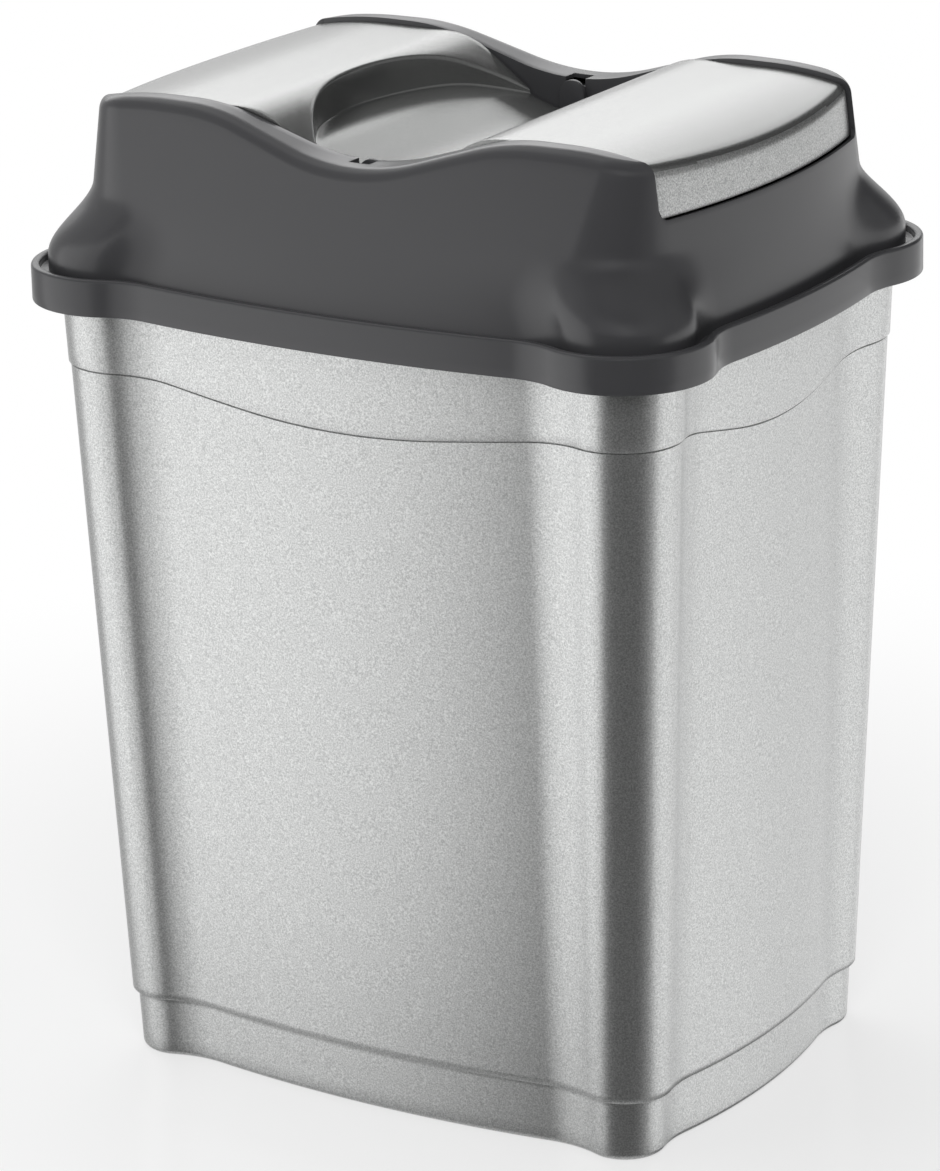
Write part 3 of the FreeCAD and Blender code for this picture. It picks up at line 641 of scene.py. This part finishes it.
def notched(skin):
    # The notch over each bearing: faces of the border and the cheek that are taken away
    only(skin)
    bpy.ops.object.mode_set(mode="EDIT")
    bpy.ops.mesh.select_mode(type="FACE")
    bpy.ops.mesh.select_all(action="DESELECT")
    bpy.ops.object.mode_set(mode="OBJECT")
    for face in skin.data.polygons:
        spot = face.center / mm
        inNotch = abs(spot.x) < hoodShape["notchHalf"] and abs(spot.y) < mouthHalf + hoodShape["notchDepth"]
        onBorder = spot.z > pivot["height"] - hoodShape["notchFoot"] and abs(spot.y) > mouthHalf - cutMargin
        face.select = inNotch and onBorder
    bpy.ops.object.mode_set(mode="EDIT")
    bpy.ops.mesh.delete(type="FACE")
    bpy.ops.object.mode_set(mode="OBJECT")


def hoodBearing(signY):
    # The boss behind the cheek: a short tube, cut level over the bore and open there for the pin
    near, far = mouthHalf + pivot["bossGap"], mouthHalf + pivot["bossWidth"]
    before, past = sorted((signY * (near - cutMargin), signY * (far + cutMargin)))
    middle = pivot["height"]
    boss = turnedBar(pivot["boss"], signY * near, signY * far, middle, pivot["boreSides"])
    bore = turnedBar(pivot["bore"], before, past, middle, pivot["boreSides"])
    throat = block(Vector((-pivot["throatHalf"], before, middle)),
                   Vector((pivot["throatHalf"], past, middle + pivot["throatTop"])))
    half, top = pivot["bossCut"]
    over = block(Vector((-half, before, middle + pivot["pin"])), Vector((half, past, middle + top)))
    cutBy(boss, (bore, throat, over))
    return boss


def makeHood():
    hood = joined("hood_shell", [hoodSkin(), hoodSkirt(), hoodBearing(1), hoodBearing(-1)])
    smoothed(hood, hoodShape["smoothBelow"])
    dressed(hood, "hood", "hood")
    return hood


# Flap

flapShape = {
    "sideGap": 1.5, "endGap": 3.2, "wall": 2.2, "lipGap": 0.6, "knee": 8.0, "skirt": 12.0,
    # The finger pocket, and the most of its depth that its rounded edge and foot each take
    "pocketRadius": 136.0, "pocketReach": 79.0, "pocketEdge": 2.0, "pocketFoot": 1.6, "roundShare": 0.4,
    # Rows across the flap, and stations along it: the lip, the knee, the slopes and the pocket
    "rows": 60, "skirtRows": 4, "lipSteps": 6, "kneeSteps": 8, "rightSteps": 36, "leftSteps": 18,
    "edgeSteps": 5, "wallSteps": 3, "footSteps": 6, "floorSteps": 18,
    "softEdge": 0.6, "edgeAngle": 60, "smoothBelow": 40,
}
flapWave = {"valley": pivot["height"] - 11.0, "crest": flapCrest, "half": 84.0, "round": 0.85,
            "dropStart": 125.0, "dropRadius": 230.0}
pocketFloor = {"valley": flapWave["valley"] + 0.6, "crest": flapWave["valley"] + 17.0,
               "half": 68.0, "round": 0.8}
footWave = {"valley": flapWave["valley"] - flapShape["skirt"], "crest": endWallHeight + flapShape["lipGap"],
            "half": 84.0, "round": 0.47}
flapHalf = mouthHalf - flapShape["sideGap"]


def lipReach(y, height):
    # How far out the flap's end is at a height, inside the hood's end wall
    halfLength, halfWidth, corner, longBow, shortBow = roundedPlan(height, -flapShape["endGap"])
    longCentre = Vector((0, halfWidth - longBow))
    shortCentre = Vector((halfLength - shortBow, 0))
    centre = circlesMeet(longCentre, longBow - corner, shortCentre, shortBow - corner, Vector((1, 1)))
    tangent = shortCentre + (centre - shortCentre).normalized() * shortBow
    if abs(y) < tangent.y:
        return shortCentre.x + math.sqrt(shortBow ** 2 - y ** 2)
    return centre.x + math.sqrt(corner ** 2 - (abs(y) - centre.y) ** 2)


@functools.lru_cache(None)
def flapEnd(y):
    # From the lip's lower edge up and round the knee, as (x, height), on the right
    height = flapCrest
    for _ in range(settleSteps):
        height = waveHeight(flapWave, lipReach(y, height))
    meet = Vector((lipReach(y, height), height, 0))
    down = (Vector((lipReach(y, height - slopeReach), height - slopeReach, 0)) - meet).normalized()
    inward = Vector((-1, waveHeight(flapWave, meet.x - 1) - height, 0)).normalized()
    corner = turnedCorner(meet, down, inward, flapShape["knee"], flapShape["kneeSteps"])
    low = endWallHeight + flapShape["lipGap"]
    steps = flapShape["lipSteps"]
    heights = [low + (corner[0].y - low) * k / steps for k in range(steps)]
    return [(lipReach(y, z), z) for z in heights] + [(point.x, point.y) for point in corner]


def pocketX(y, radius):
    return flapShape["pocketRadius"] - flapShape["pocketReach"] - math.sqrt(radius ** 2 - y ** 2)


@functools.lru_cache(None)
def flapRow(y):
    # One row of the flap across its length, as (x, height) from left to right
    end = flapEnd(y)
    radius = flapShape["pocketRadius"]

    def top(x):
        return waveHeight(flapWave, x)

    def floor(x):
        return min(top(x), waveHeight(pocketFloor, x))

    f = flapShape
    start = end[-1][0]
    spots = [start * (1 - k / f["rightSteps"]) for k in range(1, f["rightSteps"])]
    right = [(x, top(x)) for x in spots]
    rim = pocketX(y, radius)
    depth = top(rim) - floor(rim)
    edge = min(f["pocketEdge"], depth * f["roundShare"])
    foot = min(f["pocketFoot"], depth * f["roundShare"])
    outer = pocketX(y, radius + edge)
    spots = [-start + (outer + start) * k / f["leftSteps"] for k in range(1, f["leftSteps"])]
    left = [(x, top(x)) for x in spots]
    for away, along in roundEdge(edge, f["edgeSteps"])[::-1]:
        x = pocketX(y, radius + away)
        left.append((x, top(x) - edge + along))
    drop = floor(rim) + foot - top(rim) + edge
    left += [(rim, top(rim) - edge + drop * k / f["wallSteps"]) for k in range(1, f["wallSteps"])]
    for away, along in roundEdge(foot, f["footSteps"]):
        x = pocketX(y, radius - away)
        left.append((x, floor(x) + foot - along))
    inner = left[-1][0]
    spots = [inner * (1 - k / f["floorSteps"]) for k in range(1, f["floorSteps"])]
    left += [(x, floor(x)) for x in spots]
    return [(-x, z) for x, z in end] + left + [(0.0, floor(0.0))] + right[::-1] + end[::-1]


def makeFlap():
    rows, skirtRows = flapShape["rows"], flapShape["skirtRows"]
    stations = len(flapRow(0.0))

    def place(column, row):
        # The rows before the first and after the last go down the stiffening wall
        k = row - skirtRows
        y = max(-flapHalf, min(flapHalf, -flapHalf + 2 * flapHalf * k / rows))
        x, z = flapRow(round(y, 4))[column]
        over = max(-k, k - rows)
        if over > 0:
            foot = waveHeight(footWave, x)
            z = z + (min(z, foot) - z) * over / skirtRows
        return x, y, z

    skin = shapedGrid("flap_skin", stations - 1, rows + 2 * skirtRows, place)
    mergedOutward(skin, ((flapWave["half"], 0, flapCrest), (0, 0, 1)))
    modified(skin, "SOLIDIFY", thickness=flapShape["wall"] * mm, offset=-1, use_quality_normals=True)
    for vertex in skin.data.vertices:  # Solidify leaves a few outside the flap's sides
        vertex.co.y = max(-flapHalf * mm, min(flapHalf * mm, vertex.co.y))
    bevelled(skin, flapShape, 3, "MITER_ARC")
    flap = joined("flap_shell", [skin] + flapPivot(1) + flapPivot(-1))
    smoothed(flap, flapShape["smoothBelow"])
    dressed(flap, "flap", "swing_flap")
    return flap


def flapPivot(signY):
    # An ear that stands on the flap's side and the stub pin that snaps into the hood's bearing
    inside = flapHalf - pivot["earWidth"]
    ear = turnedBar(pivot["ear"], signY * inside, signY * flapHalf, pivot["height"])
    foot = flapWave["valley"] - pivot["earFoot"]
    for vertex in ear.data.vertices:  # its lower half goes straight down into the flap
        if vertex.co.z < pivot["height"] * mm - tiny:
            vertex.co.z = foot * mm
    reach = flapShape["sideGap"] + pivot["pinEnd"]
    root = flapHalf - pivot["pinRoot"]
    pin = turnedBar(pivot["pin"], signY * root, signY * (flapHalf + reach), pivot["height"])
    for piece in (ear, pin):
        bevelled(piece, pivot, 2, "MITER_SHARP")
    return [ear, pin]


container = makeContainer()
print("container made")
hood = makeHood()
print("hood made")
flap = makeFlap()
print("flap made")


# Materials

def toLinear(hexColour):
    channels = [int(hexColour[i:i + 2], 16) / 255 for i in (1, 3, 5)]
    linear = [c / 12.92 if c <= 0.04045 else ((c + 0.055) / 1.055) ** 2.4 for c in channels]
    return (*linear, 1.0)


def addNode(tree, kind, settings=None, links=None):
    # One shader node: settings are attributes or socket values, links are {socket: (node, output)}
    node = tree.nodes.new("ShaderNode" + kind)
    for name, value in (settings or {}).items():
        if isinstance(name, str) and hasattr(node, name):
            setattr(node, name, value)
        else:
            node.inputs[name].default_value = value
    for name, (source, output) in (links or {}).items():
        tree.links.new(source.outputs[output], node.inputs[name])
    return node


def newMaterial(name):
    material = bpy.data.materials.new(name)
    material.use_nodes = True
    material.node_tree.nodes.clear()
    return material, material.node_tree


# Finishes. A flake is the mm from one flake to the next, drawn coarser than the real ones, which
# look about 0.3 mm, so that they show. Gloss is how much of a polished skin lies over them.
containerFinish = {"flake": 0.9, "light": "#d8d9d8", "dark": "#a3a4a4",
                   "metallic": 0.85, "roughness": 0.34, "gloss": 0.0}
flapFinish = {"flake": 0.9, "light": "#8c8d8c", "dark": "#787978",
              "metallic": 0.8, "roughness": 0.27, "gloss": 0.4}
lipFinish = {"flake": 0.9, "light": "#cfd0cf", "dark": "#8f9090",
             "metallic": 0.85, "roughness": 0.36, "gloss": 0.0}
hoodFinish = {"colour": "#3d3d3f", "roughness": 0.29, "ripple": 6.0}


def silverFlakePolypropylene(name, finish):
    # Polypropylene with aluminium flakes in it, moulded against a fine spark-eroded surface:
    # satin, a little metallic, speckled light and dark
    material, tree = newMaterial(name)
    place = addNode(tree, "TexCoord")
    flake = addNode(tree, "TexNoise",
                    {"Scale": 1 / (finish["flake"] * mm), "Detail": 3.0, "Roughness": 0.7},
                    {"Vector": (place, "Object")})
    spread = addNode(tree, "MapRange", {"From Min": 0.35, "From Max": 0.65}, {"Value": (flake, "Fac")})
    # The mix's colour sockets go by number, because its other sockets share their names
    colour = addNode(tree, "Mix",
                     {"data_type": "RGBA", 6: toLinear(finish["dark"]), 7: toLinear(finish["light"])},
                     {"Factor": (spread, "Result")})
    bump = addNode(tree, "Bump", {"Strength": 0.12, "Distance": 0.05 * mm}, {"Height": (flake, "Fac")})
    shader = addNode(tree, "BsdfPrincipled",
                     {"Metallic": finish["metallic"], "Roughness": finish["roughness"], "IOR": 1.49,
                      "Coat Weight": finish["gloss"], "Coat Roughness": 0.2, "Coat IOR": 1.5},
                     {"Base Color": (colour, 2), "Normal": (bump, "Normal")})
    addNode(tree, "OutputMaterial", None, {"Surface": (shader, "BSDF")})
    return material


def darkPolypropylene(name, finish):
    # Polypropylene coloured in the mass, from a polished mould: dark grey, soft gloss
    material, tree = newMaterial(name)
    place = addNode(tree, "TexCoord")
    ripple = addNode(tree, "TexNoise", {"Scale": 1 / (finish["ripple"] * mm), "Detail": 1.0},
                     {"Vector": (place, "Object")})
    bump = addNode(tree, "Bump", {"Strength": 0.05, "Distance": 0.05 * mm}, {"Height": (ripple, "Fac")})
    colour = toLinear(finish["colour"])
    shader = addNode(tree, "BsdfPrincipled",
                     {"Base Color": colour, "Roughness": finish["roughness"], "IOR": 1.47},
                     {"Normal": (bump, "Normal")})
    addNode(tree, "OutputMaterial", None, {"Surface": (shader, "BSDF")})
    return material


silver = silverFlakePolypropylene("silverFlakePolypropylene", containerFinish)
glossSilver = silverFlakePolypropylene("glossSilverPolypropylene", flapFinish)
grainedSilver = silverFlakePolypropylene("grainedSilverPolypropylene", lipFinish)
dark = darkPolypropylene("darkGreyPolypropylene", hoodFinish)
print("materials made")

for nodeName, piece, material in (("container", container, silver), ("hood", hood, dark),
                                  ("swing_flap", flap, glossSilver)):
    for shown in (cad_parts[nodeName], piece):
        shown.data.materials.clear()
        shown.data.materials.append(material)

# The lips at the flap's two ends are grained and its top is polished. Its ears and pins get the hood's dark
# material as painted shade, for the shade that they sit in beside the hood's cheeks.
flap.data.materials.append(grainedSilver)
flap.data.materials.append(dark)
lipPart = {"facing": 0.8, "from": 0.9 * topHalfLength}
earShadePart = {"from": flapHalf - pivot["earWidth"] - 0.1, "half": pivot["ear"] + 0.1,
           "above": flapWave["valley"] + 1}
for face in flap.data.polygons:
    spot = face.center / mm
    if abs(face.normal.x) > lipPart["facing"] and abs(spot.x) > lipPart["from"]:
        face.material_index = 1
    # painted shade: the faces of the ears and pins take the dark material
    if abs(spot.y) > earShadePart["from"] and abs(spot.x) < earShadePart["half"] and spot.z > earShadePart["above"]:
        face.material_index = 2

# Floor and backdrop

# A pale floor that the camera sees mixed with plain white: only nearShare of the floor itself near
# the bin, for its shadow, and none from whiteFrom on. Sizes are in metres.
floorShape = {"size": 40.0, "shadowTo": 0.3, "whiteFrom": 0.9, "nearShare": 0.4,
              "colour": "#f4f4f4", "roughness": 0.18}
bpy.ops.mesh.primitive_plane_add(size=floorShape["size"], location=(0, 0, 0))
floor = bpy.context.object
floor.name = "floor"
floor.visible_glossy = False
floorMaterial, tree = newMaterial("paleFloor")
place = addNode(tree, "TexCoord")
away = addNode(tree, "VectorMath", {"operation": "LENGTH"}, {0: (place, "Object")})
whiter = addNode(tree, "MapRange",
                 {"interpolation_type": "SMOOTHSTEP", "From Min": floorShape["shadowTo"],
                  "From Max": floorShape["whiteFrom"], "To Min": 1 - floorShape["nearShare"]},
                 {"Value": (away, "Value")})
rays = addNode(tree, "LightPath")
share = addNode(tree, "Math", {"operation": "MULTIPLY"},
                {0: (whiter, "Result"), 1: (rays, "Is Camera Ray")})
pale = addNode(tree, "BsdfPrincipled",
               {"Base Color": toLinear(floorShape["colour"]), "Roughness": floorShape["roughness"]})
white = addNode(tree, "Emission", {"Color": toLinear("#ffffff"), "Strength": 1.0})
mixed = addNode(tree, "MixShader", None, {0: (share, "Value"), 1: (pale, "BSDF"), 2: (white, "Emission")})
addNode(tree, "OutputMaterial", None, {"Surface": (mixed, "Shader")})
floor.data.materials.append(floorMaterial)

# The studio, a dim room with pale sheets to the left, behind, to the right and high in front, and a
# glow far below and far above. Camera and transmission rays see plain white instead. A sheet spans an
# azimuth, seen from the bin, and reaches from its bottom, or far below, to its top, all in degrees.

studio = {
    "dim": 0.04,
    "sheets": (
        {"azimuth": -80, "half": 50, "soft": 12, "top": 80, "strength": 0.45},
        {"azimuth": 214, "half": 34, "soft": 8, "top": 16, "strength": 0.75},
        {"azimuth": 110, "half": 35, "soft": 12, "top": 80, "strength": 0.3},
        {"azimuth": 45, "half": 60, "soft": 20, "bottom": 16, "top": 50, "strength": 0.45},
    ),
    "edgeSoft": 6,
    "ground": {"from": -45, "to": -62, "strength": 0.55},  # what walls mirror when seen from high up
    "ceiling": {"from": 60, "to": 75, "strength": 0.3},
}


def around(azimuth, elevation):
    a, e = math.radians(azimuth), math.radians(elevation)
    return Vector((math.sin(a) * math.cos(e), -math.cos(a) * math.cos(e), math.sin(e)))


def sineOf(degrees):
    return math.sin(math.radians(degrees))


def softEdged(tree, edges, strength):
    # A strength that fades out over each edge, given as (node, output, value outside, value inside)
    made = None
    for source, output, outside, inside in edges:
        edge = addNode(tree, "MapRange",
                       {"interpolation_type": "SMOOTHSTEP", "From Min": outside, "From Max": inside},
                       {"Value": (source, output)})
        if made:
            edge = addNode(tree, "Math", {"operation": "MULTIPLY"}, {0: (made, 0), 1: (edge, 0)})
        made = edge
    return addNode(tree, "Math", {"operation": "MULTIPLY", 1: strength}, {0: (made, 0)})


def sheetEdges(tree, level, height, sheet):
    # A sheet's top, its bottom if it has one, and its two sides
    soft = studio["edgeSoft"]
    facing = addNode(tree, "VectorMath",
                     {"operation": "DOT_PRODUCT", 1: around(sheet["azimuth"], 0)}, {0: (level, "Vector")})
    sides = [math.cos(math.radians(sheet["half"] + turn)) for turn in (sheet["soft"], -sheet["soft"])]
    edges = [(height, "Z", sineOf(sheet["top"] + soft), sineOf(sheet["top"] - soft))]
    if "bottom" in sheet:
        edges.append((height, "Z", sineOf(sheet["bottom"] - soft), sineOf(sheet["bottom"] + soft)))
    return edges + [(facing, "Value", *sides)]


world = bpy.data.worlds.new("studio")
bpy.context.scene.world = world
world.use_nodes = True
tree = world.node_tree
tree.nodes.clear()
direction = addNode(tree, "TexCoord")
height = addNode(tree, "SeparateXYZ", None, {0: (direction, "Generated")})
flat = addNode(tree, "VectorMath", {"operation": "MULTIPLY", 1: (1, 1, 0)}, {0: (direction, "Generated")})
level = addNode(tree, "VectorMath", {"operation": "NORMALIZE"}, {0: (flat, "Vector")})
made = []
for sheet in studio["sheets"]:
    made.append(softEdged(tree, sheetEdges(tree, level, height, sheet), sheet["strength"]))
for end in (studio["ground"], studio["ceiling"]):
    made.append(softEdged(tree, [(height, "Z", sineOf(end["from"]), sineOf(end["to"]))], end["strength"]))
total = addNode(tree, "Math", {"operation": "ADD", 1: studio["dim"]}, {0: (made[0], "Value")})
for strength in made[1:]:
    total = addNode(tree, "Math", {"operation": "MAXIMUM"}, {0: (total, "Value"), 1: (strength, "Value")})
lit = addNode(tree, "Background", {"Color": toLinear("#ffffff")}, {"Strength": (total, "Value")})
white = addNode(tree, "Background", {"Color": toLinear("#ffffff"), "Strength": 1.0})
rays = addNode(tree, "LightPath")
seen = addNode(tree, "Math", {"operation": "MAXIMUM"},
               {0: (rays, "Is Camera Ray"), 1: (rays, "Is Transmission Ray")})
mixed = addNode(tree, "MixShader", None,
                {0: (seen, "Value"), 1: (lit, "Background"), 2: (white, "Background")})
addNode(tree, "OutputWorld", None, {"Surface": (mixed, "Shader")})

# Lamps

# Upright soft boxes round the bin, each from one place on the floor to another, in metres. Glow is
# how bright a mirror would show it, where 1 is white. The left and the right one reach below the
# floor, which reflections pass through, because the walls mirror what is lower than they are.
boxes = {
    "leftBox": {"from": (-0.2, -1.15), "to": (-1.5, -0.3), "low": -0.45, "high": 0.9, "glow": 1.0},
    "rightBox": {"from": (1.3, -0.03), "to": (0.05, 1.5), "low": -0.6, "high": 0.5, "glow": 1.0},
    "backBox": {"from": (-0.1, 1.7), "to": (-1.7, 0.55), "low": 0.85, "high": 1.46, "glow": 1.9},
}
# Overhead and fill lamps, in metres. The overhead light is in two, because only the weaker part of
# it shows in reflections, and the fill is kept out of them.
overhead = {"azimuth": -130, "elevation": 62, "distance": 1.5, "wide": 1.4, "tall": 1.2}
lamps = {
    "topBox": {**overhead, "watts": 3, "mirrored": True},
    "topFill": {**overhead, "watts": 15, "mirrored": False},
    "fillBox": {"azimuth": 33, "elevation": 35, "distance": 2.5, "wide": 1.0, "tall": 1.0,
                "watts": 26, "mirrored": False},
}
aim = Vector((0, 0, 0.3))


def addLamp(name, wide, tall, watts, place, facing, mirrored):
    data = bpy.data.lights.new(name, "AREA")
    data.shape = "RECTANGLE"
    data.size, data.size_y = wide, tall
    data.energy = watts
    placed = bpy.data.objects.new(name, data)
    bpy.context.scene.collection.objects.link(placed)
    placed.location = place
    placed.rotation_mode = "QUATERNION"
    placed.rotation_quaternion = facing.to_track_quat("-Z", "Y")
    placed.visible_camera = False
    placed.visible_glossy = mirrored


for name, box in boxes.items():
    start, end = Vector((*box["from"], 0)), Vector((*box["to"], 0))
    middle = (start + end) / 2
    tall = box["high"] - box["low"]
    wide = (end - start).length
    facing = Vector((end.y - start.y, start.x - end.x, 0)).normalized()
    if facing.dot(middle) > 0:
        facing = -facing
    middle.z = (box["low"] + box["high"]) / 2
    addLamp(name, wide, tall, math.pi * box["glow"] * wide * tall, middle, facing, True)

for name, lamp in lamps.items():
    back = around(lamp["azimuth"], lamp["elevation"])
    spot = aim + back * lamp["distance"]
    addLamp(name, lamp["wide"], lamp["tall"], lamp["watts"], spot, -back, lamp["mirrored"])

# Camera, at the photograph's angle
view = {"azimuth": 32.643, "elevation": 18.403, "roll": -1.373, "distance": 3.0741,
        "target": (-0.0108, 0.0, 0.2701), "lens": 166.57}
data = bpy.data.cameras.new("camera")
data.lens = view["lens"]
data.clip_end = 100
camera = bpy.data.objects.new("camera", data)
bpy.context.scene.collection.objects.link(camera)
back = around(view["azimuth"], view["elevation"])
camera.location = Vector(view["target"]) + back * view["distance"]
camera.rotation_mode = "QUATERNION"
camera.rotation_quaternion = ((-back).to_track_quat("-Z", "Y")
                              @ Quaternion((0, 0, 1), math.radians(view["roll"])))
bpy.context.scene.camera = camera
bpy.context.scene.view_settings.view_transform = "Standard"
print("camera and light set")
